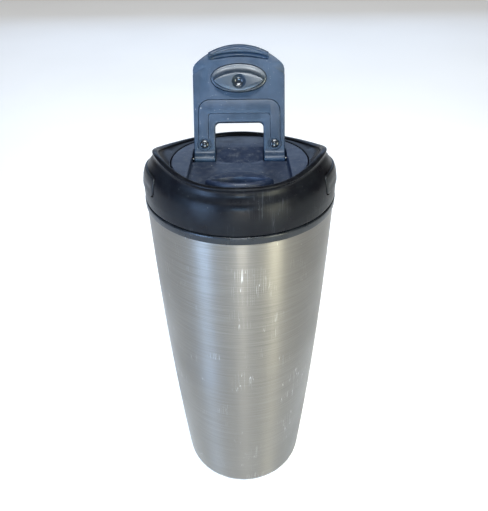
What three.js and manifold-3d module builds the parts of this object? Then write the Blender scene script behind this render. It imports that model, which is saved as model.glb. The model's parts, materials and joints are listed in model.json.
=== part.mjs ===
// An insulated travel mug: a tapered double-wall cup with a screw-on lid and a flip-up drinking flap.
// Millimetres, +Z up, origin at the centre of the underside, the drinking side towards -Y.
// The flap is modelled standing open against its stop, and the lid screwed fully down.
import * as THREE from "three";
import { mergeVertices } from "three/addons/utils/BufferGeometryUtils.js";
import Module from "manifold-3d";

const wasm = await Module();
wasm.setup();

// ---- driving dimensions ----
const CLEARANCE = 0.3; // between pieces that touch

const STEPS_ROUND = 64; // facets of the large round pieces
const STEPS_SMALL = 16; // facets of pins, studs and their holes

// steel shell
const PAD_PROUD = 0.8; // how far the non-slip pad stands below the steel
const SHELL_HEIGHT = 172.6;
const SHELL_TOP = PAD_PROUD + SHELL_HEIGHT;
const SHELL_TOP_RADIUS = 41;
const SHELL_FOOT_RADIUS = 33.05; // where the wall meets the rounded foot
const SHELL_BULGE = 1.38; // how far the wall bows out of a straight taper
const FOOT_ROUNDING = 7;
const STEEL = 0.6;
const SHELL_FLOOR_HOLE = 22;

// inner cup and what lies between it and the shell
const BORE_RADIUS = 35.4;
const LINER_WALL = 1.6;
const LINER_FLOOR = 9.6; // height of the inside floor
const LINER_FLOOR_RADIUS = 27.7;
const FLANGE_RADIUS = 41.5;
const FLANGE_TOP = 3.5; // above the steel's top edge
const SPIGOT_RADIUS = 39.5;
const SPIGOT_DEPTH = 9;

// screw thread
const LEAD = 12; // rise of the lid in one turn
const THREAD_STARTS = 2;
const THREAD_SWEEP = THREE.MathUtils.degToRad(150);
const SKIRT_RADIUS = 33.6;
const SKIRT_DEPTH = 12; // how far the lid's skirt reaches below the steel's top edge
const MALE_CREST = 34.9;
const FEMALE_CREST = 34.1;
const THREAD_START_Z = -9.5;

// lid: heights are above the steel's top edge
const COLLAR_FOOT = FLANGE_TOP + 0.4;
const COLLAR_RADIUS = 41.3;
const SHOULDER_FOOT = 8; // above this height the collar's section stretches with the rim
const RIM_WAVE = [20.11, 5.11, -2.2, -1.6, 0.27, 0.35, 0.19]; // cosine series round the lid
const SHOULDER = [
  // share of the height from the shoulder's foot to the rim, and radius there
  [0, 41.3],
  [0.2, 41.05],
  [0.42, 40.5],
  [0.56, 39.6],
  [0.66, 38.5],
  [0.75, 37.6],
  [0.84, 37.15],
  [0.9, 37.25],
  [0.955, 37.75],
  [0.985, 37.5],
  [1, 36.6],
];
const RIM_INSIDE = [
  [0.985, 35.7],
  [0.95, 35.15],
];
const DECK_HEIGHT = 17.45; // on the lid's axis
const DECK_TILT = THREE.MathUtils.degToRad(6.33); // the drinking side is the higher
const DECK_THICKNESS = 2.4;
const DECK_STEP = 3.1; // depth of the collar's edge round the deck
const PANEL_DEPTH = 2.9; // of the recess under the flap
const PANEL_HALF_WIDTH = 20.5;

// flap: local Z runs up the flap from its pins, local Y out of its outer face
const PIN_Y = 7;
const PIN_Z = 13.8;
const PIN_RADIUS = 0.9;
const OPEN_LEAN = THREE.MathUtils.degToRad(28); // behind the vertical
const CLOSED_TURN = THREE.MathUtils.degToRad(105.3); // from open to shut
const FLAP_INNER = 0.3;
const FLAP_OUTER = 4.1;
const FLAP_HALF_WIDTH = 20;
const FLAP_LENGTH = 48.6;
const FLAP_END_RADIUS = 27;
const KNUCKLE_RADIUS = 2.1;
const WINDOW_HALF_WIDTH = 10.65;
const WINDOW_TOP = 15.9;
const PLUG_CENTRE = 32.6;
const FLANGE_CENTRE = 34.5;
const STUD_X = 15.5;
const STUD_Z = 6.7;

// ---- materials ----
const finish = (color, roughness, metalness) =>
  new THREE.MeshStandardMaterial({ color, roughness, metalness });
const brushedSteel = () => finish(0xb9b6b0, 0.32, 1);
const satinBlack = () => finish(0x101114, 0.35, 0);
const mattBlack = () => finish(0x1b2129, 0.55, 0);
const softBlack = () => finish(0x0d0e10, 0.75, 0);
const palePlastic = () => finish(0xd9d4c4, 0.9, 0);

// ---- solids ----
function toSolid(geometry) {
  const bare = geometry.clone();
  bare.deleteAttribute("normal");
  bare.deleteAttribute("uv");
  const merged = mergeVertices(bare, 1e-4);
  return new wasm.Manifold(
    new wasm.Mesh({
      numProp: 3,
      vertProperties: merged.attributes.position.array,
      triVerts: new Uint32Array(merged.index.array),
    }),
  );
}

function toGeometry(solid) {
  const mesh = solid.getMesh();
  const geometry = new THREE.BufferGeometry();
  geometry.setAttribute("position", new THREE.BufferAttribute(mesh.vertProperties, 3));
  geometry.setIndex(new THREE.BufferAttribute(mesh.triVerts, 1));
  geometry.computeVertexNormals();
  return geometry;
}

const joined = (...geometries) => geometries.map(toSolid).reduce((a, b) => a.add(b));
const without = (solid, ...cutters) => cutters.map(toSolid).reduce((a, b) => a.subtract(b), solid);

function named(name, shape, material) {
  const geometry = shape.isBufferGeometry ? shape : toGeometry(shape);
  const mesh = new THREE.Mesh(geometry, material);
  mesh.name = name;
  return mesh;
}

// A ring or disc whose closed section [[radius, height], ...] may change with the angle from -Y.
function turned(sectionAt, steps = STEPS_ROUND) {
  const count = sectionAt(0).length;
  const outline = Array.from({ length: count }, (_, j) => new THREE.Vector2(count - j, j));
  const geometry = new THREE.LatheGeometry(outline, steps);
  const position = geometry.attributes.position;
  for (let i = 0; i <= steps; i++) {
    const angle = ((i % steps) / steps) * 2 * Math.PI;
    sectionAt(angle).forEach(([radius, height], j) =>
      position.setXYZ(i * count + j, radius * Math.sin(angle), -radius * Math.cos(angle), height),
    );
  }
  return geometry;
}

const closedLoop = (points) => [...points, points[0]];
const ring = (points, steps) => turned(() => closedLoop(points), steps);
const disc = (points, steps) => turned(() => points, steps);

// A box bent round the axis: place(u, v, w) gives [angle, radius, height], where u runs from 0 to 1
// round the axis, v from 0 on the outside to 1 on the inside, and w from 0 at the bottom to 1.
function bentBox(place, stepsAround, stepsUp = 1) {
  const geometry = new THREE.BoxGeometry(1, 1, 1, stepsAround, 1, stepsUp);
  const position = geometry.attributes.position;
  for (let i = 0; i < position.count; i++) {
    const [angle, radius, height] = place(
      position.getX(i) + 0.5,
      position.getY(i) + 0.5,
      position.getZ(i) + 0.5,
    );
    position.setXYZ(i, radius * Math.sin(angle), -radius * Math.cos(angle), height);
  }
  return geometry;
}

function box(x, y, z) {
  const geometry = new THREE.BoxGeometry(x[1] - x[0], y[1] - y[0], z[1] - z[0]);
  return geometry.translate((x[0] + x[1]) / 2, (y[0] + y[1]) / 2, (z[0] + z[1]) / 2);
}

// An outline in X and Z, solid between two values of Y.
function slab(shape, y, curveSegments = 8) {
  const depth = y[1] - y[0];
  const geometry = new THREE.ExtrudeGeometry(shape, { depth, bevelEnabled: false, curveSegments });
  return geometry.rotateX(Math.PI / 2).translate(0, y[1], 0);
}

const rodAlongX = (radius, x, steps = STEPS_SMALL) =>
  new THREE.CylinderGeometry(radius, radius, x[1] - x[0], steps)
    .rotateZ(Math.PI / 2)
    .translate((x[0] + x[1]) / 2, 0, 0);

// ---- outlines ----
function roundedRectangle(x, z, radius) {
  const shape = new THREE.Shape();
  shape.absarc(x[1] - radius, z[0] + radius, radius, -Math.PI / 2, 0, false);
  shape.absarc(x[1] - radius, z[1] - radius, radius, 0, Math.PI / 2, false);
  shape.absarc(x[0] + radius, z[1] - radius, radius, Math.PI / 2, Math.PI, false);
  shape.absarc(x[0] + radius, z[0] + radius, radius, Math.PI, 1.5 * Math.PI, false);
  return shape;
}

// Two equal arcs that meet in points at each side.
function eye(halfWidth, halfHeight, centre) {
  const radius = (halfWidth ** 2 + halfHeight ** 2) / (2 * halfHeight);
  const half = Math.asin(halfWidth / radius);
  const shape = new THREE.Shape();
  shape.absarc(0, centre + halfHeight - radius, radius, Math.PI / 2 - half, Math.PI / 2 + half, false);
  shape.absarc(0, centre - halfHeight + radius, radius, 1.5 * Math.PI - half, 1.5 * Math.PI + half, false);
  return shape;
}

const oval = (halfWidth, halfHeight, centre) =>
  new THREE.Shape().absellipse(0, centre, halfWidth, halfHeight, 0, 2 * Math.PI, false, 0);

// ---- the steel shell and its base ----
// share 0 is the top edge, 1 is where the wall meets the foot
function wallPoint(share, inset) {
  const straight = THREE.MathUtils.lerp(SHELL_TOP_RADIUS, SHELL_FOOT_RADIUS, share);
  const bow = SHELL_BULGE * 4 * share * (1 - share);
  return [straight + bow - inset, SHELL_TOP - share * (SHELL_HEIGHT - FOOT_ROUNDING)];
}

const wall = (inset, steps) => Array.from({ length: steps + 1 }, (_, i) => wallPoint(i / steps, inset));

function footArc(inset, steps) {
  return Array.from({ length: steps }, (_, i) => {
    const angle = ((i + 1) / steps) * (Math.PI / 2);
    return [
      SHELL_FOOT_RADIUS - FOOT_ROUNDING + (FOOT_ROUNDING - inset) * Math.cos(angle),
      PAD_PROUD + FOOT_ROUNDING - (FOOT_ROUNDING - inset) * Math.sin(angle),
    ];
  });
}

function outerShell() {
  const outside = [...wall(0, 8), ...footArc(0, 5), [SHELL_FLOOR_HOLE, PAD_PROUD]];
  const inside = [...wall(STEEL, 8), ...footArc(STEEL, 4), [SHELL_FLOOR_HOLE, PAD_PROUD + STEEL]];
  return named("outer_shell", ring([...outside.reverse(), ...inside]), brushedSteel());
}

function basePlate() {
  const floor = PAD_PROUD + STEEL + CLEARANCE;
  const section = [
    [0, floor + 2],
    [25.4, floor + 2],
    [25.4, floor],
    [SHELL_FLOOR_HOLE - CLEARANCE, floor],
    [SHELL_FLOOR_HOLE - CLEARANCE, PAD_PROUD + 0.1],
    [19.9, PAD_PROUD + 0.1],
    [19.9, 1.6],
    [0, 1.6],
  ].reverse();
  return named("base_plate", disc(section, 48), mattBlack());
}

function basePad() {
  const section = [
    [0, 0],
    [19.2, 0],
    [19.6, 0.4],
    [19.6, 1.3],
    [0, 1.3],
  ];
  return named("base_pad", disc(section, 48), softBlack());
}

// ---- the inner cup ----
const linerOutside = (height) =>
  LINER_WALL +
  THREE.MathUtils.mapLinear(height, LINER_FLOOR, SHELL_TOP - 13, LINER_FLOOR_RADIUS, BORE_RADIUS);

// The cup's outside from its axis to the foot of its wall, or a surface a gap away from it.
const linerUnderside = (gap) => [
  [0, LINER_FLOOR - LINER_WALL - gap],
  [LINER_FLOOR_RADIUS - 4, LINER_FLOOR - LINER_WALL - gap],
  [linerOutside(LINER_FLOOR + 3) + gap, LINER_FLOOR + 2.2 - gap],
];

function innerLiner() {
  const top = SHELL_TOP + FLANGE_TOP;
  const rebate = SHELL_TOP + 1.3; // holds the flange seal
  const section = [
    ...linerUnderside(0),
    [linerOutside(SHELL_TOP - 14), SHELL_TOP - 14],
    [SPIGOT_RADIUS, SHELL_TOP - SPIGOT_DEPTH],
    [SPIGOT_RADIUS, rebate],
    [FLANGE_RADIUS - 0.4, rebate],
    [FLANGE_RADIUS - 0.4, SHELL_TOP + CLEARANCE],
    [FLANGE_RADIUS, SHELL_TOP + CLEARANCE],
    [FLANGE_RADIUS, top - 0.4],
    [FLANGE_RADIUS - 0.4, top],
    [BORE_RADIUS + 0.5, top],
    [BORE_RADIUS, top - 0.5],
    [BORE_RADIUS, SHELL_TOP - 13],
    [LINER_FLOOR_RADIUS + 0.2, LINER_FLOOR + 3.8],
    [LINER_FLOOR_RADIUS - 3.5, LINER_FLOOR],
    [0, LINER_FLOOR],
  ];
  const threads = threadRidges(BORE_RADIUS + CLEARANCE, FEMALE_CREST, LEAD / THREAD_STARTS / 2);
  threads.forEach((ridge) => ridge.translate(0, 0, SHELL_TOP));
  return named("inner_liner", joined(disc(section), ...threads), satinBlack());
}

// Right-handed ridges between a root and a crest radius, tapered away at both ends.
function threadRidges(root, crest, lift) {
  const rootHalf = 1.1;
  const crestHalf = 0.6;
  const inward = crest < root;
  return Array.from({ length: THREAD_STARTS }, (_, start) =>
    bentBox(
      (u, v, w) => {
        const rise = inward ? v : 1 - v;
        const depth = rise * Math.min(1, 8 * u + 0.15, 8 * (1 - u) + 0.15);
        const half = THREE.MathUtils.lerp(rootHalf, crestHalf, depth);
        const middle = THREAD_START_Z + lift + (LEAD * u * THREAD_SWEEP) / (2 * Math.PI);
        const angle = u * THREAD_SWEEP + (start * 2 * Math.PI) / THREAD_STARTS;
        return [angle, THREE.MathUtils.lerp(root, crest, depth), middle + (w - 0.5) * 2 * half];
      },
      20,
    ),
  );
}

function insulation() {
  const gap = 0.35;
  const top = SHELL_TOP - 15;
  const outside = wall(STEEL + gap, 8).filter(([, height]) => height < top);
  const section = [
    [0, 4.3],
    [25.5, 4.3],
    [29.9, 6.8],
    ...outside.reverse(),
    [linerOutside(top) + gap, top],
    ...linerUnderside(gap).reverse(),
  ];
  return named("insulation_foam", disc(section, 48), palePlastic());
}

function flangeSeal() {
  const section = [
    [SPIGOT_RADIUS + CLEARANCE, SHELL_TOP + CLEARANCE],
    [FLANGE_RADIUS - 0.75, SHELL_TOP + CLEARANCE],
    [FLANGE_RADIUS - 0.75, SHELL_TOP + 1],
    [SPIGOT_RADIUS + CLEARANCE, SHELL_TOP + 1],
  ];
  return named("flange_seal", ring(section, 48), softBlack());
}

// ---- the lid's body: deck, threaded skirt and flange ----
const rimHeight = (angle) => RIM_WAVE.reduce((sum, wave, k) => sum + wave * Math.cos(k * angle), 0);
const shoulderHeight = (share, angle) => SHOULDER_FOOT + share * (rimHeight(angle) - SHOULDER_FOOT);
const deckRadius = (angle) => 31.8 + 2.4 * Math.cos(2 * angle);
const deckHeight = (radius, angle) => DECK_HEIGHT + Math.tan(DECK_TILT) * radius * Math.cos(angle);

function lidBodySection(angle) {
  const edge = deckRadius(angle) - 0.35;
  const inside = edge - 2;
  const flange = COLLAR_FOOT + 0.4;
  return [
    [0, DECK_HEIGHT - DECK_THICKNESS],
    [inside, deckHeight(inside, angle) - DECK_THICKNESS],
    [inside, 7],
    [SKIRT_RADIUS - 2, 4],
    [SKIRT_RADIUS - 2, -SKIRT_DEPTH],
    [SKIRT_RADIUS - 0.4, -SKIRT_DEPTH],
    [SKIRT_RADIUS, -SKIRT_DEPTH + 0.5],
    [SKIRT_RADIUS, flange],
    [38.4, flange],
    [38.4, flange + 2],
    [Math.max(edge, SKIRT_RADIUS), flange + 2],
    [edge, flange + 4],
    [edge, deckHeight(edge, angle)],
    [0, DECK_HEIGHT],
  ];
}

const onDeck = (geometry) => geometry.rotateX(-DECK_TILT).translate(0, 0, DECK_HEIGHT);
const asShut = (geometry) => geometry.rotateX(CLOSED_TURN - OPEN_LEAN).translate(0, PIN_Y, PIN_Z);

const moved = (solid, place) => toSolid(place(toGeometry(solid)));

// The floor under the flap, and the deeper floor under its two legs.
function deckTub() {
  const inside = (angle) => deckRadius(angle) - 1.2;
  const core = turned((angle) => [
    [0, 5],
    [inside(angle), 5],
    [inside(angle), deckHeight(inside(angle), angle) - 1],
    [0, DECK_HEIGHT - 1],
  ]);
  const floor = box([-22.7, 22.7], [-40, 3], [-PANEL_DEPTH - 2, -1.5]);
  const pockets = box([-24.2, 24.2], [1.5, 15.6], [-7.1, -1.5]);
  return moved(joined(floor, pockets), onDeck).intersect(toSolid(core));
}

function deckCuts() {
  const rounding = 1.3;
  const floorEdge = PANEL_HALF_WIDTH - rounding;
  const across = new THREE.Shape();
  across.moveTo(PANEL_HALF_WIDTH, 3);
  across.lineTo(-PANEL_HALF_WIDTH, 3);
  across.absarc(-floorEdge, rounding - PANEL_DEPTH, rounding, Math.PI, 1.5 * Math.PI, false);
  across.absarc(floorEdge, rounding - PANEL_DEPTH, rounding, 1.5 * Math.PI, 2 * Math.PI, false);
  const panel = slab(across, [-42, 1.7], 3);
  const blockHalf = WINDOW_HALF_WIDTH - CLEARANCE;
  const scoopHalf = blockHalf + 0.2; // runs out into the pockets on both sides
  const ramp = new THREE.Shape(
    [
      [1.3, 0.05 - PANEL_DEPTH],
      [15.6, 0],
      [15.6, 3],
      [1.3, 3],
    ].map(([y, z]) => new THREE.Vector2(y, z)),
  );
  const scoop = new THREE.ExtrudeGeometry(ramp, { depth: 2 * scoopHalf, bevelEnabled: false });
  scoop.rotateY(Math.PI / 2).rotateX(Math.PI / 2).translate(-scoopHalf, 0, 0);
  const recesses = [panel, scoop];
  const bearings = [];
  for (const side of [-1, 1]) {
    const pocket = [blockHalf * side, (PANEL_HALF_WIDTH + 0.05) * side].sort((a, b) => a - b);
    const ledge = [(blockHalf + 0.1) * side, (PANEL_HALF_WIDTH - 0.05) * side].sort((a, b) => a - b);
    recesses.push(box(pocket, [3.7, 13.6], [-5.3, 3.2]));
    recesses.push(box(ledge, [1.4, 4], [-PANEL_DEPTH - 0.05, 2.8]));
    const bearing = [(PANEL_HALF_WIDTH - 0.5) * side, 22.7 * side].sort((a, b) => a - b);
    bearings.push(rodAlongX(PIN_RADIUS + CLEARANCE, bearing).translate(0, PIN_Y, PIN_Z));
  }
  const vent = new THREE.CylinderGeometry(0.9, 0.9, 8, 12).rotateX(Math.PI / 2);
  recesses.push(vent.translate(-STUD_X, 8.5, -6));
  return joined(...bearings).add(moved(joined(...recesses), onDeck));
}

// The raised rim round the drinking hole, its top parallel with the shut flap and wider at the back.
function spoutLip() {
  const top = -0.6;
  const slope = 1.2;
  const rise = new THREE.ExtrudeGeometry(eye(12.6, 8.1, PLUG_CENTRE - 1.8), {
    depth: 2,
    bevelThickness: slope,
    bevelSize: 1.3,
    bevelSegments: 2,
    curveSegments: 10,
  });
  return asShut(rise.rotateX(Math.PI / 2).translate(0, top - slope, 0));
}

function lidBody() {
  const plain = joined(turned(lidBodySection)).add(deckTub());
  const recessed = plain.subtract(deckCuts());
  const holeCut = asShut(slab(eye(11.5, 4.8, PLUG_CENTRE), [-14, 4], 10));
  const spout = without(recessed.add(toSolid(spoutLip())), holeCut);
  const threads = threadRidges(SKIRT_RADIUS - CLEARANCE, MALE_CREST, 0).map(toSolid);
  return named("lid_body", threads.reduce((a, b) => a.add(b), spout), mattBlack());
}

function lidGasket() {
  const section = [
    [33.95, 1.2],
    [34.8, 1],
    [35.05, 1.5],
    [34.6, 2.2],
    [35.05, 2.9],
    [34.8, 3.6],
    [33.95, 3.8],
  ];
  return named("lid_gasket", ring(section, 48), softBlack());
}

// ---- the collar: the lid's outer shell, with a wavy rim and a grip pad on each side ----
function collarSection(angle) {
  const edge = deckRadius(angle);
  const deck = deckHeight(edge, angle);
  const at = ([share, radius]) => [radius, shoulderHeight(share, angle)];
  return closedLoop([
    [38.9, COLLAR_FOOT],
    [COLLAR_RADIUS - 0.4, COLLAR_FOOT],
    [COLLAR_RADIUS, COLLAR_FOOT + 0.5],
    ...SHOULDER.map(at),
    ...RIM_INSIDE.map(at),
    [edge, deck],
    [edge, deck - DECK_STEP],
    [38.7, shoulderHeight(0.3, angle)],
  ]);
}

function shoulderRadius(share) {
  const upper = SHOULDER.findIndex(([s]) => s >= share);
  const [s0, r0] = SHOULDER[Math.max(upper - 1, 0)];
  const [s1, r1] = SHOULDER[upper];
  return s1 === s0 ? r0 : THREE.MathUtils.mapLinear(share, s0, s1, r0, r1);
}

// A patch that follows the shoulder of the collar, from one depth to another, grown at its edges.
function shoulderPatch(side, depths, grown) {
  const middle = THREE.MathUtils.degToRad(88);
  const half = THREE.MathUtils.degToRad(30) + grown / COLLAR_RADIUS;
  const shares = [0.14 - grown / 16, 0.6 + grown / 16];
  return bentBox(
    (u, v, w) => {
      const share = THREE.MathUtils.lerp(...shares, w);
      const angle = side * middle + (u * 2 - 1) * half;
      const depth = THREE.MathUtils.lerp(depths[1], depths[0], v);
      return [angle, shoulderRadius(share) + depth, shoulderHeight(share, angle)];
    },
    12,
    5,
  );
}

function lidCollar() {
  const seats = [-1, 1].map((side) => shoulderPatch(side, [-0.8, 3], CLEARANCE));
  return named("lid_collar", without(joined(turned(collarSection)), ...seats), satinBlack());
}

const grip = (name, side) => named(name, shoulderPatch(side, [-0.5, 0.5], 0), softBlack());

// ---- the flap ----
function flapOutline() {
  const shoulder = 4.5; // rounding between each side and the arched end
  const centre = FLAP_LENGTH - FLAP_END_RADIUS;
  const cornerX = FLAP_HALF_WIDTH - shoulder;
  const cornerZ = centre + Math.sqrt((FLAP_END_RADIUS - shoulder) ** 2 - cornerX ** 2);
  const turn = Math.atan2(cornerZ - centre, cornerX);
  const inner = 2; // rounding of the window's corners
  const foot = 0.6;
  const shape = new THREE.Shape();
  shape.moveTo(WINDOW_HALF_WIDTH, foot);
  shape.lineTo(FLAP_HALF_WIDTH, foot);
  shape.absarc(cornerX, cornerZ, shoulder, 0, turn, false);
  shape.absarc(0, centre, FLAP_END_RADIUS, turn, Math.PI - turn, false);
  shape.absarc(-cornerX, cornerZ, shoulder, Math.PI - turn, Math.PI, false);
  shape.lineTo(-FLAP_HALF_WIDTH, foot);
  shape.lineTo(-WINDOW_HALF_WIDTH, foot);
  shape.absarc(inner - WINDOW_HALF_WIDTH, WINDOW_TOP - inner, inner, Math.PI, Math.PI / 2, true);
  shape.absarc(WINDOW_HALF_WIDTH - inner, WINDOW_TOP - inner, inner, Math.PI / 2, 0, true);
  return shape;
}

// A hook along the flap's end that drops over the outside of the rim.
function thumbLip() {
  const outside = FLAP_END_RADIUS;
  const centre = FLAP_LENGTH - outside;
  const reach = 13;
  const insideRadius = 47.8;
  const insideCentre = 45.7 - insideRadius;
  const half = Math.asin(reach / outside);
  const insideHalf = Math.asin(reach / insideRadius);
  const shape = new THREE.Shape();
  shape.absarc(0, centre, outside, Math.PI / 2 - half, Math.PI / 2 + half, false);
  shape.absarc(0, insideCentre, insideRadius, Math.PI / 2 + insideHalf, Math.PI / 2 - insideHalf, true);
  return slab(shape, [-2.6, FLAP_INNER + 1]);
}

// The U-shaped plate let into the flap's inner face round the window, with an eye round each stud.
function yokePlate(grown, y) {
  const outerX = 17.9 + grown;
  const top = 25.6 + grown;
  const innerX = 13.6 - grown;
  const bridge = 19.8 - grown;
  const corner = 5;
  const shape = new THREE.Shape();
  shape.moveTo(innerX, STUD_Z);
  shape.lineTo(outerX, STUD_Z);
  shape.absarc(outerX - corner, top - corner, corner, 0, Math.PI / 2, false);
  shape.absarc(corner - outerX, top - corner, corner, Math.PI / 2, Math.PI, false);
  shape.lineTo(-outerX, STUD_Z);
  shape.lineTo(-innerX, STUD_Z);
  shape.lineTo(-innerX, bridge);
  shape.lineTo(innerX, bridge);
  const eyes = [-1, 1].map((side) => bore(2.9 + grown, STUD_X * side, STUD_Z, y));
  return joined(slab(shape, y, 5), ...eyes);
}

const YOKE_FACE = FLAP_INNER + 0.25;
const YOKE_BACK = YOKE_FACE + 1.4;

// A round hole through the flap's thickness, between two values of Y.
const bore = (radius, x, z, y) =>
  new THREE.CylinderGeometry(radius, radius, y[1] - y[0], STEPS_SMALL).translate(x, (y[0] + y[1]) / 2, z);

function flapPlate() {
  const legs = [-1, 1].map((side) => {
    const x = [WINDOW_HALF_WIDTH * side, FLAP_HALF_WIDTH * side].sort((a, b) => a - b);
    return rodAlongX(KNUCKLE_RADIUS, x);
  });
  const plate = joined(slab(flapOutline(), [FLAP_INNER, FLAP_OUTER]), thumbLip(), ...legs);
  const rimPath = turned((angle) =>
    closedLoop([
      [34.5, 10],
      [38.3, 10],
      [38.3, rimHeight(angle) + 0.4],
      [34.5, rimHeight(angle) + 0.4],
    ]),
  );
  rimPath.translate(0, -PIN_Y, -PIN_Z).rotateX(OPEN_LEAN - CLOSED_TURN);
  const cuts = [
    rimPath,
    slab(oval(12.35, 6.65, FLANGE_CENTRE), [FLAP_INNER - 1, FLAP_INNER + 1.2], 12),
    bore(1.4, 0, PLUG_CENTRE, [FLAP_INNER, 3.4]),
  ];
  for (const side of [-1, 1]) {
    const x = [13 * side, 21 * side].sort((a, b) => a - b);
    cuts.push(rodAlongX(PIN_RADIUS + CLEARANCE, x));
    cuts.push(bore(1.4, STUD_X * side, STUD_Z, [YOKE_FACE, 3.6]));
  }
  const recess = yokePlate(CLEARANCE, [FLAP_INNER - 1, YOKE_BACK + CLEARANCE]);
  return named("flap_plate", without(plate.subtract(recess), ...cuts), mattBlack());
}

function flapYoke() {
  const plate = yokePlate(0, [YOKE_FACE, YOKE_BACK]);
  const cuts = [-1, 1].flatMap((side) => [
    bore(1.4, STUD_X * side, STUD_Z, [YOKE_FACE - 1, YOKE_BACK + 1]),
    bore(2.45, STUD_X * side, STUD_Z, [YOKE_FACE - 1, YOKE_FACE + 0.6]),
  ]);
  return named("flap_yoke", without(plate, ...cuts), mattBlack());
}

// A domed rivet along Y: its head faces -Y and its shank ends at the given depth.
function rivet(name, x, z, head, under, shankEnd, headRadius) {
  const section = [
    [0, head],
    [headRadius * 0.6, head + 0.15],
    [headRadius, head + 0.5],
    [headRadius, under],
    [1.1, under],
    [1.1, shankEnd],
    [0, shankEnd],
  ].map(([radius, y]) => [radius, -y]);
  const geometry = disc(section.reverse(), STEPS_SMALL).rotateX(Math.PI / 2).translate(x, 0, z);
  return named(name, geometry, satinBlack());
}

function plugSeal() {
  const face = -3.6;
  const flange = slab(oval(12, 6.3, FLANGE_CENTRE), [-0.25, FLAP_INNER + 0.9], 12);
  const body = slab(eye(10.8, 4.35, PLUG_CENTRE), [face, 0.2], 10);
  const dimple = bore(2.5, 0, PLUG_CENTRE, [face - 1, face + 1.6]);
  const stem = bore(1.4, 0, PLUG_CENTRE, [face - 1, 3]);
  return named("plug_seal", without(joined(flange, body), dimple, stem), softBlack());
}

const hingePin = (name, side) =>
  named(name, rodAlongX(PIN_RADIUS, [13.3 * side, 22.4 * side].sort((a, b) => a - b)), brushedSteel());

// ---- the assembly ----
const mug = new THREE.Group();
mug.add(outerShell(), basePlate(), basePad(), innerLiner(), insulation(), flangeSeal());

const lid = new THREE.Group();
lid.position.z = SHELL_TOP;
lid.add(lidBody(), lidGasket(), lidCollar(), grip("grip_left", -1), grip("grip_right", 1));
mug.add(lid);

const flap = new THREE.Group();
flap.position.set(0, PIN_Y, PIN_Z);
flap.rotation.x = -OPEN_LEAN;
flap.add(flapPlate(), flapYoke(), plugSeal());
flap.add(rivet("plug_peg", 0, PLUG_CENTRE, -3.2, -2.3, 3.1, 1.9));
flap.add(rivet("stud_left", -STUD_X, STUD_Z, -0.05, 0.75, 3.3, 1.85));
flap.add(rivet("stud_right", STUD_X, STUD_Z, -0.05, 0.75, 3.3, 1.85));
flap.add(hingePin("hinge_pin_left", -1), hingePin("hinge_pin_right", 1));
lid.add(flap);

export default mug;
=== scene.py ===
import json
import math

import bmesh
import bpy
import numpy as np
from mathutils import Matrix, Vector


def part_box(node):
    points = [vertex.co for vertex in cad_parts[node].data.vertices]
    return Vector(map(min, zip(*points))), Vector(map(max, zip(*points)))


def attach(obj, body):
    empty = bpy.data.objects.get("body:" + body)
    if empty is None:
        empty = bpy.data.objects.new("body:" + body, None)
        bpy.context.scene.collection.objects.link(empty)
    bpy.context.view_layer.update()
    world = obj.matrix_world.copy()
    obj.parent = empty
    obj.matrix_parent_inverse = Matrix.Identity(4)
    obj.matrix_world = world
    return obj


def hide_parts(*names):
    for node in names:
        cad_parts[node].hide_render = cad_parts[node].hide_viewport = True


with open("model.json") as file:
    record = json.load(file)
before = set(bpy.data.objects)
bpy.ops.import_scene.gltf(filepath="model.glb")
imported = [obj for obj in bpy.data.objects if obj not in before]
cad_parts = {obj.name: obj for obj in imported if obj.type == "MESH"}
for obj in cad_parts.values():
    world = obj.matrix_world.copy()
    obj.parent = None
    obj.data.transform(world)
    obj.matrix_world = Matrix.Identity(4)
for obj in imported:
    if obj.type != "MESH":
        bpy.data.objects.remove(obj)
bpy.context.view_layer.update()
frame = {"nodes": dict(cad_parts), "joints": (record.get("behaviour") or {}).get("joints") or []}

MM = 0.001

# ---- dimensions in millimetres ----
STEEL_LOW, STEEL_HIGH = (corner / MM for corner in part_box("outer_shell"))
STEEL_TOP = STEEL_HIGH.z
STEEL_FOOT = STEEL_LOW.z
STEEL_RADIUS = STEEL_HIGH.x
STEEL_FOOT_RADIUS = 33.05  # where the wall meets the rounded foot
STEEL_BULGE = 1.38  # how far the wall bows out of a straight taper
STEEL_WALL = 0.6
FOOT_ROUNDING = 7
FLOOR_HOLE = 22  # radius of the hole in the steel's floor, which the base plate closes

BORE_RADIUS = 35.4  # inside the cup's mouth
BORE_DEPTH = 13  # of the cup's straight mouth, below the steel's top edge
LINER_WALL = 1.6
LINER_FLOOR = 9.6  # height of the inside floor
LINER_FLOOR_RADIUS = 27.7
FLANGE_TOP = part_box("inner_liner")[1].z / MM
FLANGE_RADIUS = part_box("inner_liner")[1].x / MM
SPIGOT_RADIUS = 39.5
SPIGOT_DEPTH = 9  # how far the liner's thicker top reaches into the steel
CLEARANCE = 0.3  # between pieces that touch

LEAD = 12  # rise of the lid in one turn
THREAD_STARTS = 2
THREAD_SWEEP = 150  # degrees that each ridge runs round
THREAD_FOOT = -9.5  # where the lid's ridges start
FEMALE_CREST = 34.1
MALE_CREST = 34.9
SKIRT_RADIUS = 33.6
SKIRT_DEPTH = 12  # how far the lid's skirt reaches below the steel's top edge

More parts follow.
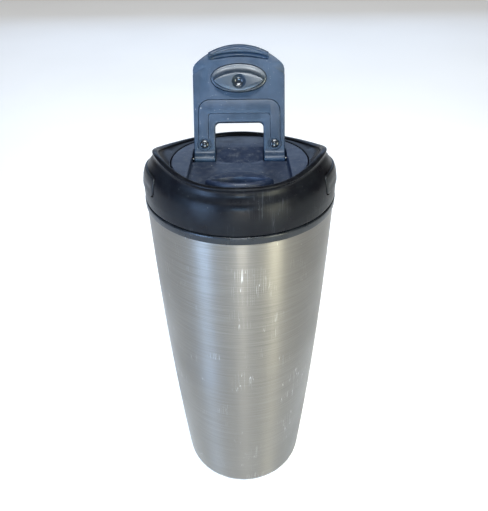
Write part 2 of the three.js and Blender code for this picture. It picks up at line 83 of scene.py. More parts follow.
COLLAR_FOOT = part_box("lid_collar")[0].z / MM - STEEL_TOP
COLLAR_RADIUS = 41.3
SHOULDER_FOOT = 8  # above this height the collar's section stretches with the rim
RIM_WAVE = [20.11, 5.11, -2.2, -1.6, 0.27, 0.35, 0.19]  # cosine series round the lid
SHOULDER = [  # share of the height from the shoulder's foot to the rim, and radius there
    (0, 41.3), (0.2, 41.05), (0.42, 40.5), (0.56, 39.6), (0.66, 38.5), (0.75, 37.6),
    (0.84, 37.15), (0.9, 37.25), (0.95, 37.65), (0.98, 37.55), (0.998, 37.05), (1, 36.5),
    (0.992, 35.95), (0.97, 35.4), (0.94, 35.1), (0.9, 34.95),
]
SIDE_TUCK = 1.3  # how much the rim draws in at the two sides
GRIP_ANGLE = 88  # degrees from the drinking side to the middle of each grip pad
GRIP_SHARE = 0.37  # how far up the shoulder the pads' middles are
DECK_HEIGHT = 17.45  # on the lid's axis
DECK_TILT = 6.33  # degrees; the drinking side is the higher
DECK_THICKNESS = 2.4
DECK_STEP = 3.1  # depth of the collar's edge round the deck
PANEL_DEPTH = 2.9  # of the recess under the flap
PANEL_HALF_WIDTH = 20.5

HINGE = next(joint for joint in frame["joints"] if joint["name"] == "flap_hinge")
PIN = Vector(HINGE["pos_m"]) / MM - Vector((0, 0, STEEL_TOP))
OPEN_LEAN = 28  # degrees behind the vertical
CLOSED_TURN = HINGE["range_deg"][1]
PIN_RADIUS = 0.9
PIN_BORE = 1.2
PIN_TIP = 22.7  # where the bearings for the pins end, to each side
FLAP_INNER = 0.3  # the plate's two faces, behind the pins' axis
FLAP_OUTER = 4.1
FLAP_EDGE = 0.55  # rounding of the plate's edges
FLAP_HALF_WIDTH = 20
FLAP_LENGTH = 48.6
FLAP_END_RADIUS = 27
LIP_RADIUS = 47.8  # of the thumb lip's lower edge
LIP_FOOT = 45.5  # how far from the pins that edge is, in the middle
LEG_TOP = 5.2  # where the legs' feet run into the plate
WINDOW_HALF_WIDTH = 10.65
WINDOW_TOP = 15.9
PLUG_CENTRE = 32.6
FLANGE_CENTRE = 34.8  # of the plug's oval flange
PLUG_FACE = -3.6  # level of the plug's end
HOLE_TIPS = 33  # how far from the pins the drinking hole's two tips are
STUD_X = 15.5
STUD_Z = 6.7
SHANK_BORE = 1.4
YOKE_FACE = 0.55
YOKE_BACK = 1.95

AROUND = 192  # steps round the large round pieces

# ---- places of the sub-frames, in millimetres ----
LID = Matrix.Translation((0, 0, STEEL_TOP))
DECK = LID @ Matrix.Translation((0, 0, DECK_HEIGHT)) @ Matrix.Rotation(-math.radians(DECK_TILT), 4, "X")
FLAP = LID @ Matrix.Translation(PIN) @ Matrix.Rotation(-math.radians(OPEN_LEAN), 4, "X")
SHUT = LID @ Matrix.Translation(PIN) @ Matrix.Rotation(math.radians(CLOSED_TURN - OPEN_LEAN), 4, "X")
WORLD = Matrix.Identity(4)


# ---- outlines: lists of (a, b) ----
def arc(centre, radius, start, end, steps):
    """Points on an arc between two angles in degrees, both ends included."""
    angles = np.radians(np.linspace(start, end, steps + 1))
    return [(centre[0] + radius * math.cos(t), centre[1] + radius * math.sin(t)) for t in angles]


def filleted(corners, steps=5):
    """A closed outline from corners (a, b, radius), each rounded to its radius."""
    outline = []
    for index, (a, b, radius) in enumerate(corners):
        corner = Vector((a, b))
        if radius == 0:
            outline.append((a, b))
            continue
        before = (Vector(corners[index - 1][:2]) - corner).normalized()
        after = (Vector(corners[(index + 1) % len(corners)][:2]) - corner).normalized()
        half = before.angle(after) / 2
        centre = corner + (before + after).normalized() * radius / math.sin(half)
        start = corner + before * radius / math.tan(half) - centre
        sweep = (math.pi - 2 * half) * math.copysign(1, before.cross(after))
        for step in range(steps + 1):
            turn = Matrix.Rotation(-sweep * step / steps, 2)
            outline.append(tuple(centre + turn @ start))
    return outline


def grown(outline, distance):
    """A closed counter-clockwise outline moved outwards by a distance."""
    points = np.array(outline, float)
    ahead = np.roll(points, -1, 0) - points
    ahead /= np.linalg.norm(ahead, axis=1, keepdims=True)
    normals = np.stack([ahead[:, 1], -ahead[:, 0]], 1)
    both = normals + np.roll(normals, 1, 0)
    shift = both / (1 + (normals * np.roll(normals, 1, 0)).sum(1, keepdims=True)).clip(0.5)
    return points + distance * shift


def smooth(points, per_span=4):
    """A Catmull-Rom curve through points, open at both ends."""
    known = np.array(points, float)
    padded = np.vstack([2 * known[0] - known[1], known, 2 * known[-1] - known[-2]])
    curve = []
    for i in range(len(known) - 1):
        p0, p1, p2, p3 = padded[i : i + 4]
        for t in np.arange(per_span) / per_span:
            curve.append(
                0.5 * (2 * p1 + (p2 - p0) * t + (2 * p0 - 5 * p1 + 4 * p2 - p3) * t**2
                       + (3 * p1 - p0 - 3 * p2 + p3) * t**3)
            )
    return [tuple(p) for p in curve] + [tuple(known[-1])]


def lens(half_width, towards, away, tips, pointed=0.86, steps=72):
    """An eye-shaped outline whose tips are at one height and which reaches up and down from there.

    pointed goes from 0.5 for an oval to 1 for two arcs that meet in points.
    """
    outline = []
    for t in np.linspace(0, 2 * math.pi, steps, endpoint=False):
        reach = away if math.sin(t) > 0 else towards
        rise = math.copysign(abs(math.sin(t)) ** (2 * pointed), math.sin(t))
        outline.append((half_width * math.cos(t), tips + reach * rise))
    return outline


def oval(half_width, half_height, centre, steps=48):
    """An ellipse, counter-clockwise."""
    angles = np.linspace(0, 2 * math.pi, steps, endpoint=False)
    return [(half_width * math.cos(t), centre + half_height * math.sin(t)) for t in angles]


# ---- solids ----
def round_the_axis(radius, angle, height):
    """A point at an angle from the drinking side, counter-clockwise from above."""
    return radius * math.sin(angle), -radius * math.cos(angle), height


def mesh_object(name, points, faces, place):
    """An object from points in millimetres in a sub-frame, with doubled points merged."""
    placed = [(place @ Vector(point)) * MM for point in points]
    mesh = bpy.data.meshes.new(name)
    mesh.from_pydata(placed, [], faces)
    work = bmesh.new()
    work.from_mesh(mesh)
    bmesh.ops.remove_doubles(work, verts=work.verts, dist=1e-6)
    bmesh.ops.recalc_face_normals(work, faces=work.faces)
    work.to_mesh(mesh)
    work.free()
    made = bpy.data.objects.new(name, mesh)
    bpy.context.scene.collection.objects.link(made)
    return made


def grid_faces(rows, count, row_total, wraps):
    """Quads from each row of count points to the next. After the last of row_total rows comes the first."""
    faces = []
    for i in range(rows):
        here = i * count
        there = (i + 1) % row_total * count
        for j in range(count if wraps else count - 1):
            after = (j + 1) % count
            faces.append((here + j, here + after, there + after, there + j))
    return faces


def skinned(name, loops, place, closed=False):
    """A solid through closed loops of equal length: capped at both ends, or joined into a ring."""
    count = len(loops[0])
    rows = len(loops) if closed else len(loops) - 1
    faces = grid_faces(rows, count, len(loops), wraps=True)
    if not closed:
        faces.append(tuple(reversed(range(count))))
        faces.append(tuple(range(rows * count, len(loops) * count)))
    return mesh_object(name, [point for loop in loops for point in loop], faces, place)


def turned(name, section_at, place, closed=True, steps=AROUND):
    """A round piece whose section [(radius, height), ...] may change with the angle from -Y."""
    points = []
    for step in range(steps):
        angle = 2 * math.pi * step / steps
        points += [round_the_axis(radius, angle, height) for radius, height in section_at(angle)]
    faces = grid_faces(steps, len(points) // steps, steps, wraps=closed)
    return mesh_object(name, points, faces, place)


def levels(low, high, low_rounding, high_rounding, steps=4):
    """(inset, level) pairs up the side of a slab whose two edges are rounded."""
    turns = np.radians(np.linspace(0, 90, steps + 1))
    below = [(low_rounding * (1 - math.sin(t)), low + low_rounding * (1 - math.cos(t))) for t in turns]
    above = [(high_rounding * (1 - math.sin(t)), high - high_rounding * (1 - math.cos(t))) for t in turns]
    return below + above[::-1]


FLAT = {  # how an outline's (a, b) and a level become (x, y, z)
    "z": lambda a, b, level: (a, b, level),
    "y": lambda a, b, level: (a, level, b),
    "x": lambda a, b, level: (level, a, b),
}


def mirrored(side, near, far):
    """The span from near to far on the right (side 1), or its mirror image on the left, low end first."""
    return sorted((near * side, far * side))


def slab(name, outline, span, rounding, place, across="y", steps=4):
    """An outline made solid between two levels, with rounded edges."""
    lay = FLAT[across]
    loops = []
    for inset, level in levels(span[0], span[1], rounding[0], rounding[1], steps):
        loops.append([lay(a, b, level) for a, b in grown(outline, -inset)])
    return skinned(name, loops, place)


def flared(name, outline, floor, rounding, flare, place):
    """A cutter from a rounded floor up to level 0, where it opens out so that the cut's edge is rounded."""
    above = 1.5
    last = math.radians(78)
    pairs = [(inset, floor + level) for inset, level in levels(0, 9, rounding, 0)[:5]]
    for turn in np.append(np.radians((0, 20, 40, 60)), last):
        pairs.append((flare * (math.cos(turn) - 1), -flare * (1 - math.sin(turn))))
    pairs.append((flare * (math.cos(last) - 1) - 0.12, above))
    loops = [[(a, b, level) for a, b in grown(outline, -inset)] for inset, level in pairs]
    return skinned(name, loops, place)


def drum(name, section, place, steps=AROUND):
    """A solid of revolution from a section that starts and ends on the axis."""
    return turned(name, lambda angle: section, place, closed=False, steps=steps)


def hoop(name, section, place, steps=AROUND):
    """A ring of revolution from a closed section."""
    return turned(name, lambda angle: section, place, closed=True, steps=steps)


def combined(base, operation, *tools):
    """base with other solids cut out of it (DIFFERENCE) or joined to it (UNION); they are used up."""
    for tool in tools:
        modifier = base.modifiers.new("combine", "BOOLEAN")
        modifier.operation = operation
        modifier.solver = "EXACT"
        modifier.object = tool
        depsgraph = bpy.context.evaluated_depsgraph_get()
        result = bpy.data.meshes.new_from_object(base.evaluated_get(depsgraph))
        base.modifiers.clear()
        old = base.data
        base.data = result
        bpy.data.meshes.remove(old)
        bpy.data.objects.remove(tool)
    return base


def cut(base, *tools):
    return combined(base, "DIFFERENCE", *tools)


def join(base, *tools):
    return combined(base, "UNION", *tools)


def tidy(made):
    """Merges the tiny edges that boolean cuts leave."""
    work = bmesh.new()
    work.from_mesh(made.data)
    bmesh.ops.remove_doubles(work, verts=work.verts, dist=4e-6)
    bmesh.ops.dissolve_degenerate(work, edges=work.edges, dist=1e-6)
    work.to_mesh(made.data)
    work.free()
    return made


def finish_piece(made, body, slot, *nodes, angle=32):
    """Gives a piece its material, smooth shading and body, and hides the CAD nodes that it stands for."""
    tidy(made)
    made.data.materials.clear()
    made.data.materials.append(material(slot))
    made.data.shade_smooth()
    made.data.set_sharp_from_angle(angle=math.radians(angle))
    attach(made, body)
    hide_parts(*nodes)
    return made


# ---- materials ----
class Shader:
    """A material's node tree, with short calls to add to it. Texture coordinates are the object's own."""

    def __init__(self, name):
        self.material = bpy.data.materials.new(name)
        self.material.use_nodes = True
        self.tree = self.material.node_tree
        self.tree.nodes.clear()
        self.surface = self.add("ShaderNodeBsdfPrincipled")
        output = self.add("ShaderNodeOutputMaterial")
        self.join(self.surface.outputs[0], output.inputs["Surface"])
        self.coordinates = self.add("ShaderNodeTexCoord")

    def add(self, kind, **settings):
        node = self.tree.nodes.new(kind)
        for key, value in settings.items():
            setattr(node, key, value)
        return node

    def join(self, source, target):
        self.tree.links.new(source, target)

    def put(self, socket, value):
        """Sets a socket, or links another node's socket to it."""
        if isinstance(value, bpy.types.NodeSocket):
            self.join(value, socket)
        else:
            socket.default_value = value

    def place(self, stretch, turn=(0, 0, 0)):
        """The object's coordinates, stretched to a number of features per metre each way."""
        mapping = self.add("ShaderNodeMapping")
        self.join(self.coordinates.outputs["Object"], mapping.inputs["Vector"])
        mapping.inputs["Scale"].default_value = stretch
        mapping.inputs["Rotation"].default_value = turn
        return mapping.outputs["Vector"]

    def noise(self, stretch, detail=2, roughness=0.5, turn=(0, 0, 0)):
        """Noise from 0 to 1 with a number of features per metre along each axis."""
        node = self.add("ShaderNodeTexNoise")
        self.join(self.place(stretch, turn), node.inputs["Vector"])
        node.inputs["Scale"].default_value = 1
        node.inputs["Detail"].default_value = detail
        node.inputs["Roughness"].default_value = roughness
        return node.outputs["Fac"]

    def cells(self, per_metre):
        """A Voronoi pattern: distance to the nearest seed, and that seed's own random value."""
        node = self.add("ShaderNodeTexVoronoi")
        self.join(self.place((per_metre,) * 3), node.inputs["Vector"])
        node.inputs["Scale"].default_value = 1
        split = self.add("ShaderNodeSeparateColor")
        self.join(node.outputs["Color"], split.inputs[0])
        return node.outputs["Distance"], split.outputs[0]

    def math(self, operation, a, b=0.0):
        node = self.add("ShaderNodeMath", operation=operation)
        for socket, value in zip(node.inputs, (a, b)):
            self.put(socket, value)
        return node.outputs[0]

    def between(self, value, low, high, to_low=0.0, to_high=1.0):
        """value taken from the range low..high to to_low..to_high, and held there."""
        node = self.add("ShaderNodeMapRange", interpolation_type="SMOOTHSTEP")
        self.put(node.inputs["Value"], value)
        for name, number in zip(("From Min", "From Max", "To Min", "To Max"), (low, high, to_low, to_high)):
            node.inputs[name].default_value = number
        return node.outputs["Result"]

    def mix(self, share, a, b):
        """Colour a turning into colour b as share goes from 0 to 1."""
        node = self.add("ShaderNodeMix", data_type="RGBA")
        for socket, value in ((node.inputs[0], share), (node.inputs[6], a), (node.inputs[7], b)):
            self.put(socket, value)
        return node.outputs[2]

    def upward(self):
        """How far the surface faces up: 1 on top, 0 on a wall."""
        split = self.add("ShaderNodeSeparateXYZ")
        self.join(self.coordinates.outputs["Normal"], split.inputs[0])
        return split.outputs["Z"]

    def specks(self, per_metre, size, share):
        """Round specks: 1 inside one, 0 elsewhere. share is how many of the cells hold a speck."""
        distance, chance = self.cells(per_metre)
        radius = self.math("MULTIPLY", chance, size)
        chosen = self.math("GREATER_THAN", chance, 1 - share)
        inside = self.math("LESS_THAN", distance, radius)
        return self.math("MULTIPLY", inside, chosen)

    def scratches(self, per_metre, turn, width):
        """Thin lines along one direction, broken up along their length."""
        lines = self.noise((per_metre, per_metre * 0.03, per_metre * 0.03), 1, turn=turn)
        offset = self.math("ABSOLUTE", self.math("SUBTRACT", lines, 0.5))
        line = self.between(offset, 0, width, 1, 0)
        patches = self.between(self.noise((90, 90, 90), 2), 0.56, 0.66)
        return self.math("MULTIPLY", line, patches)

    def bump(self, *heights):
        """Bumps on one another, each (height, distance in metres)."""
        normal = None
        for height, distance in heights:
            node = self.add("ShaderNodeBump")
            node.inputs["Strength"].default_value = 1
            node.inputs["Distance"].default_value = distance
            self.join(height, node.inputs["Height"])
            if normal:
                self.join(normal, node.inputs["Normal"])
            normal = node.outputs["Normal"]
        self.join(normal, self.surface.inputs["Normal"])

    def set(self, **values):
        for key, value in values.items():
            self.put(self.surface.inputs[key.replace("_", " ")], value)


def moulded(name, colour, lit, roughness, grain, dust, specular):
    """Moulded plastic or rubber: mottled colour, spark-eroded grain, fine scratches and dust."""
    s = Shader(name)
    mottle = s.noise((140, 140, 140), 4, 0.6)
    fine = s.noise((2600, 2600, 2600), 3, 0.65)
    base = s.mix(s.between(mottle, 0.3, 0.7), (*colour, 1), (*lit, 1))
    scratch = s.math(
        "MAXIMUM",
        s.scratches(900, (0.3, 0.2, 0.7), 0.012),
        s.scratches(1200, (0.9, 0.4, 2.1), 0.01),
    )
    settled = s.between(s.upward(), 0.35, 1)
    film = s.math("MULTIPLY", s.between(s.noise((420, 420, 420), 5, 0.7), 0.45, 0.8), settled)
    film = s.math("MULTIPLY", film, dust * 0.5)
    small = s.math("MULTIPLY", s.specks(1300, 0.2, 0.22), s.between(mottle, 0.42, 0.6))
    large = s.specks(420, 0.13, 0.12)
    crumbs = s.math("MULTIPLY", s.math("MAXIMUM", small, large), s.between(s.upward(), 0.15, 0.6, 0.1, 1))
    crumbs = s.math("MULTIPLY", crumbs, dust)
    dirty = s.mix(film, base, (0.3, 0.31, 0.32, 1))
    marked = s.mix(s.math("MULTIPLY", scratch, 0.06), dirty, (0.35, 0.36, 0.38, 1))
    s.set(Base_Color=s.mix(crumbs, marked, (0.5, 0.49, 0.46, 1)))
    worn = s.math("MULTIPLY", scratch, 0.072)
    varied = s.between(mottle, 0.3, 0.7, roughness - 0.05, roughness + 0.06)
    s.set(Roughness=s.math("ADD", s.math("ADD", varied, worn), s.math("MULTIPLY", film, 0.3)))
    s.set(Specular_IOR_Level=specular, IOR=1.49)
    s.bump((fine, grain * 1e-5), (s.noise((420, 420, 420), 3), grain * 1.6e-5), (crumbs, 4e-5))
    return s.material


def brushed(name, axis):
    """Stainless steel brushed round an axis, with fine hoops, stray scratches and faint smears."""
    s = Shader(name)
    lines = s.noise((55, 55, 7500), 3, 0.6)
    broad = s.noise((26, 26, 2400), 3, 0.55)
    smears = s.noise((28, 28, 20), 4, 0.55)
    streaks = s.math("ADD", s.math("MULTIPLY", lines, 0.6), s.math("MULTIPLY", broad, 0.4))
    tone = s.mix(s.between(streaks, 0.34, 0.68), (0.135, 0.122, 0.104, 1), (0.195, 0.182, 0.162, 1))
    dull = s.mix(s.between(smears, 0.45, 0.75, 0, 0.35), tone, (0.152, 0.14, 0.124, 1))
    scratch = s.math(
        "MAXIMUM",
        s.scratches(700, (0.2, 1.1, 0.4), 0.008),
        s.scratches(500, (1.3, 0.5, 1.7), 0.006),
    )
    specks = s.specks(160, 0.06, 0.2)
    marked = s.mix(s.math("MULTIPLY", scratch, 0.3), dull, (0.86, 0.86, 0.85, 1))
    s.set(Base_Color=s.mix(s.math("MULTIPLY", specks, 0.35), marked, (0.3, 0.29, 0.27, 1)))
    grip = s.between(streaks, 0.3, 0.7, 0.27, 0.36)
    s.set(Roughness=s.math("ADD", grip, s.between(smears, 0.4, 0.7, 0, 0.06)))
    s.set(Metallic=1.0, Anisotropic=0.85, Anisotropic_Rotation=0.25)
    tangent = s.add("ShaderNodeTangent", direction_type="RADIAL", axis=axis)
    s.join(tangent.outputs[0], s.surface.inputs["Tangent"])
    s.bump((lines, 6e-6), (broad, 1.2e-5), (scratch, 4e-6))
    return s.material


def foamed(name):
    """Pale rigid foam with open cells; each cell's middle is painted darker, as shade in its pore."""
    s = Shader(name)
    distance, chance = s.cells(900)
    # painted shade: each cell is darker towards its middle, where the pore is hollow, and paler at its
    # walls
    tone = s.mix(s.between(distance, 0.1, 0.7), (0.55, 0.5, 0.4, 1), (0.85, 0.81, 0.7, 1))
    s.set(Base_Color=s.mix(s.between(chance, 0.7, 1, 0, 0.3), tone, (0.7, 0.6, 0.42, 1)))
    s.set(Roughness=s.between(s.noise((300, 300, 300)), 0.3, 0.7, 0.85, 0.97))
    s.bump((distance, 2e-4))
    return s.material


MOULDED = {  # colour, colour where the mottling is light, roughness, grain, dust, specular level
    "base_plastic": ((0.020, 0.021, 0.024), (0.028, 0.029, 0.033), 0.5, 1.2, 0.3, 0.5),
    "pad_rubber": ((0.014, 0.014, 0.015), (0.022, 0.022, 0.023), 0.78, 1.6, 0.5, 0.5),
    "liner_plastic": ((0.004, 0.005, 0.006), (0.006, 0.007, 0.009), 0.3, 0.5, 0.1, 0.3),
    "seal_rubber": ((0.016, 0.016, 0.018), (0.022, 0.022, 0.024), 0.55, 0.6, 0.1, 0.5),
    "deck_plastic": ((0.007, 0.012, 0.027), (0.010, 0.017, 0.036), 0.4, 0.8, 0.4, 0.4),
    "collar_plastic": ((0.0025, 0.0025, 0.0035), (0.0035, 0.004, 0.005), 0.32, 1.1, 0.06, 0.1),
    "grip_rubber": ((0.005, 0.005, 0.006), (0.007, 0.008, 0.009), 0.38, 1.0, 0.08, 0.2),
    "flap_plastic": ((0.008, 0.018, 0.034), (0.013, 0.027, 0.050), 0.38, 0.7, 0.4, 0.4),
    "plug_rubber": ((0.010, 0.017, 0.026), (0.015, 0.023, 0.033), 0.36, 0.4, 0.35, 0.6),
    "stud_plastic": ((0.006, 0.008, 0.011), (0.010, 0.012, 0.016), 0.16, 0.3, 0.1, 0.5),
}
made_materials = {}


def make_material(slot):
    if slot in MOULDED:
        return moulded(slot, *MOULDED[slot])
    if slot == "foam":
        return foamed(slot)
    return brushed(slot, "X" if slot == "pin_steel" else "Z")


def material(slot):
    """The slot's material, made once."""
    if slot not in made_materials:
        made_materials[slot] = make_material(slot)
    return made_materials[slot]


# ---- the steel shell and its base ----
def wall_point(share, inset):
    """(radius, height) on the steel's side, a share of the way down from its top edge."""
    straight = STEEL_RADIUS + share * (STEEL_FOOT_RADIUS - STEEL_RADIUS)
    bow = STEEL_BULGE * 4 * share * (1 - share)
    height = STEEL_TOP - share * (STEEL_TOP - STEEL_FOOT - FOOT_ROUNDING)
    return straight + bow - inset, height


def shell_side(inset):
    """The shell's outline from its top edge down to the hole in its floor, moved inwards by an inset."""
    wall = [wall_point(share, inset) for share in np.linspace(0, 1, 49)]
    foot_centre = (STEEL_FOOT_RADIUS - FOOT_ROUNDING, STEEL_FOOT + FOOT_ROUNDING)
    foot = arc(foot_centre, FOOT_ROUNDING - inset, 0, -90, 14)[1:]
    return wall + foot + [(FLOOR_HOLE, STEEL_FOOT + inset)]


def make_shell():
    section = shell_side(0)[::-1] + shell_side(STEEL_WALL)
    shell = hoop("steel_shell", section, WORLD, steps=256)
    finish_piece(shell, "mug", "brushed_shell", "outer_shell")


def make_base():
    low = STEEL_FOOT + 0.1
    shelf = STEEL_FOOT + STEEL_WALL + CLEARANCE
    plate = filleted([
        (0, shelf + 2, 0), (25.4, shelf + 2, 0.5), (25.4, shelf, 0.3), (21.7, shelf, 0),
        (21.7, low, 0.25), (19.9, low, 0.25), (19.9, 1.6, 0), (0, 1.6, 0),
    ])
    finish_piece(drum("base_disc", plate[::-1], WORLD), "mug", "base_plastic", "base_plate")
    pad = [(0, 1.3), (19.6, 1.3)] + arc((19.2, 0.4), 0.4, 0, -90, 4)
    for groove in (16.4, 13.2, 10.0, 6.8):
        pad += [(groove + 0.5, 0), (groove + 0.35, 0.35), (groove - 0.35, 0.35), (groove - 0.5, 0)]
    finish_piece(drum("foot_pad", pad + [(0, 0)], WORLD), "mug", "pad_rubber", "base_pad")


# ---- the inner cup ----
def thread_ridges(name, root, crest, lift):
    """Right-handed ridges from a root to a crest radius, with rounded crests and tapered ends."""
    ridges = []
    for start in range(THREAD_STARTS):
        loops = []
        for u in np.linspace(0, 1, 41):
            depth = (crest - root) * min(1, 8 * u + 0.15, 8 * (1 - u) + 0.15)
            angle = math.radians(u * THREAD_SWEEP + start * 360 / THREAD_STARTS)
            middle = THREAD_FOOT + lift + LEAD * u * THREAD_SWEEP / 360
            near = root + depth * 0.8
            top = root + depth
            profile = [(root, -1.1), (near, -0.75), (top, -0.4), (top, 0.4), (near, 0.75), (root, 1.1)]
            loops.append([round_the_axis(radius, angle, middle + rise) for radius, rise in profile])
        ridges.append(skinned(f"{name}_{start}", loops, LID))
    return ridges


def liner_outside(height):
    """Radius of the liner's tapered wall, on its outer side."""
    share = (height - LINER_FLOOR) / (STEEL_TOP - BORE_DEPTH - LINER_FLOOR)
    return LINER_FLOOR_RADIUS + share * (BORE_RADIUS - LINER_FLOOR_RADIUS) + LINER_WALL


def make_liner():
    rebate = STEEL_TOP + 1 + CLEARANCE
    low = STEEL_TOP + CLEARANCE
    section = filleted([
        (0, LINER_FLOOR - LINER_WALL, 0),
        (LINER_FLOOR_RADIUS - 4, LINER_FLOOR - LINER_WALL, 2),
        (liner_outside(LINER_FLOOR + 3), LINER_FLOOR + 2.2, 2),
        (liner_outside(STEEL_TOP - 14), STEEL_TOP - 14, 1),
        (SPIGOT_RADIUS, STEEL_TOP - SPIGOT_DEPTH, 0.4),
        (SPIGOT_RADIUS, rebate, 0),
        (FLANGE_RADIUS - 0.5, rebate, 0),
        (FLANGE_RADIUS - 0.5, low, 0),
        (FLANGE_RADIUS, low, 0.15),
        (FLANGE_RADIUS, FLANGE_TOP, 0.7),
        (BORE_RADIUS, FLANGE_TOP, 0.6),
        (BORE_RADIUS, STEEL_TOP - BORE_DEPTH, 0.5),
        (LINER_FLOOR_RADIUS + 0.3, LINER_FLOOR, 4.2),
        (0, LINER_FLOOR, 0),
    ])
    cup = drum("inner_cup", section, WORLD)
    join(cup, *thread_ridges("cup_thread", BORE_RADIUS + 0.3, FEMALE_CREST, LEAD / 4))
    finish_piece(cup, "mug", "liner_plastic", "inner_liner")


def make_seals():
    inner = SPIGOT_RADIUS + CLEARANCE
    outer = FLANGE_RADIUS - 0.75
    low = STEEL_TOP + CLEARANCE
    high = STEEL_TOP + 1
    seal = filleted([(inner, low, 0.2), (outer, low, 0.2), (outer, high, 0.2), (inner, high, 0.2)])
    finish_piece(hoop("flange_ring", seal, WORLD, 128), "mug", "seal_rubber", "flange_seal")
    lips = filleted([
        (33.95, 1.2, 0.1), (34.8, 1, 0.15), (35.05, 1.5, 0.25), (34.55, 2.2, 0.3), (35.05, 2.9, 0.25),
        (34.8, 3.6, 0.15), (33.95, 3.8, 0.1),
    ])
    finish_piece(hoop("lid_seal", lips, LID, 128), "lid_ring", "seal_rubber", "lid_gasket")


# ---- the lid ----
def rim_height(angle):
    """Height of the lid's wavy rim at an angle from the drinking side."""
    return sum(wave * math.cos(k * angle) for k, wave in enumerate(RIM_WAVE))


def shoulder_height(share, angle):
    return SHOULDER_FOOT + share * (rim_height(angle) - SHOULDER_FOOT)


def deck_radius(angle):
    """The deck's edge, a little longer from front to back than across."""
    return 31.8 + 2.4 * math.cos(2 * angle)


def deck_height(radius, angle):
    return DECK_HEIGHT + math.tan(math.radians(DECK_TILT)) * radius * math.cos(angle)


SHOULDER_CURVE = smooth(SHOULDER, 4)


def collar_section(angle):
    """The collar's outline. At the two sides its neck runs up straighter, so the rim flares less."""
    edge = deck_radius(angle)
    deck = deck_height(edge, angle)
    tuck = SIDE_TUCK * abs(math.sin(angle)) ** 3
    outside = []
    for share, radius in SHOULDER_CURVE:
        neck = min(1, max(0, (share - 0.74) / 0.2))
        outside.append((radius - tuck * neck * neck * (3 - 2 * neck), shoulder_height(share, angle)))
    foot = arc((COLLAR_RADIUS - 0.5, COLLAR_FOOT + 0.5), 0.5, -90, 0, 4)
    skirt = [(COLLAR_RADIUS, COLLAR_FOOT + rise) for rise in (1.4, 2.6, 3.6)]
    inner = Vector(outside[-1])
    lip = Vector((edge + 0.45, deck - 0.05))
    bend = Vector((inner.x - 0.25, max(lip.y, inner.y - 1.2)))
    funnel = []
    for t in (0.2, 0.4, 0.6, 0.8, 1):
        funnel.append(tuple(inner * (1 - t) ** 2 + bend * 2 * t * (1 - t) + lip * t**2))
    rounded = arc((edge + 0.45, deck - 0.5), 0.45, 90, 180, 4)[1:]
    inside = [(edge, deck - DECK_STEP), (38.7, shoulder_height(0.3, angle)), (38.9, COLLAR_FOOT)]
    return foot + skirt + outside + funnel + rounded + inside


def on_shoulder(side, outline, level):
    """A loop raised off one side of the shoulder, from an outline in millimetres round it and up it."""
    mean_radius = 41
    mean_height = 15.5
    shares, radii = zip(*SHOULDER[:9])
    loop = []
    for a, b in outline:
        angle = side * math.radians(GRIP_ANGLE) + a / mean_radius
        share = GRIP_SHARE + b / mean_height
        radius = float(np.interp(share, shares, radii)) + level
        loop.append(round_the_axis(radius, angle, shoulder_height(share, angle)))
    return loop


def patch_outline(half_length, half_height, corner):
    """A rounded rectangle whose long sides are split into even steps, counter-clockwise."""
    steps = 28
    run = 2 * (half_length - corner)
    outline = []
    ends = ((half_length, half_height, 0), (-half_length, half_height, 90),
            (-half_length, -half_height, 180), (half_length, -half_height, 270))
    for a, b, start in ends:
        centre = (a - math.copysign(corner, a), b - math.copysign(corner, b))
        outline += arc(centre, corner, start, start + 90, 6)
        if start in (0, 180):
            way = 1 if start else -1
            outline += [(centre[0] + way * run * step / steps, b) for step in range(1, steps)]
    return outline


def shoulder_patch(name, side, outline, depths, rounding):
    """A pad that follows the shoulder. Rows of faces run across it, so that both its faces are curved."""
    points = np.array(outline, float)
    fills = [points * (1 - 0.1 * share, 1 - share) for share in (0.3, 0.6, 0.999)]
    low = [on_shoulder(side, fill, depths[0]) for fill in reversed(fills)]
    high = [on_shoulder(side, fill, depths[1]) for fill in fills]
    wall = [on_shoulder(side, grown(outline, -inset), level) for inset, level in levels(*depths, *rounding)]
    return skinned(name, low + wall + high, LID)


def make_collar():
    collar = turned("lid_shell", collar_section, LID, steps=240)
    for side, node in ((-1, "grip_left"), (1, "grip_right")):
        cut(collar, shoulder_patch("seat", side, patch_outline(22.1, 3.85, 2.3), (-0.8, 2), (0, 0)))
        outline = patch_outline(21.6, 3.35, 1.9)
        pad = shoulder_patch(f"{node}_pad", side, outline, (-0.5, 0.45), (0.1, 0.35))
        finish_piece(pad, "lid", "grip_rubber", node)
    finish_piece(collar, "lid", "collar_plastic", "lid_collar", angle=28)


def lid_body_section(angle):
    """The lid's inner moulding: the deck's underside, the skirt, the shelf under the collar, the deck."""
    edge = deck_radius(angle) - 0.35
    deck = deck_height(edge, angle)
    inside = edge - 2
    flange = COLLAR_FOOT + 0.4
    under = [
        (0, DECK_HEIGHT - DECK_THICKNESS),
        (inside - 1, deck_height(inside - 1, angle) - DECK_THICKNESS),
        (inside, deck_height(inside, angle) - DECK_THICKNESS - 1),
        (inside, 7),
        (SKIRT_RADIUS - 2, 4),
    ]
    skirt = [(SKIRT_RADIUS - 2, 0.3 - SKIRT_DEPTH), (SKIRT_RADIUS - 1.7, -SKIRT_DEPTH),
             (SKIRT_RADIUS - 0.5, -SKIRT_DEPTH), (SKIRT_RADIUS, 0.6 - SKIRT_DEPTH)]
    shelf = [(SKIRT_RADIUS, flange), (38.4, flange), (38.4, flange + 2),
             (max(edge, SKIRT_RADIUS), flange + 2), (edge, flange + 4)]
    rounding = 0.55
    crown = arc((edge - rounding, deck - rounding), rounding, 0, 90, 4)
    rise = rounding * math.tan(math.radians(DECK_TILT)) * math.cos(angle)
    crown = [(r, h - rise * (edge - r) / rounding) for r, h in crown]
    return under + skirt + shelf + crown + [(0, DECK_HEIGHT)]


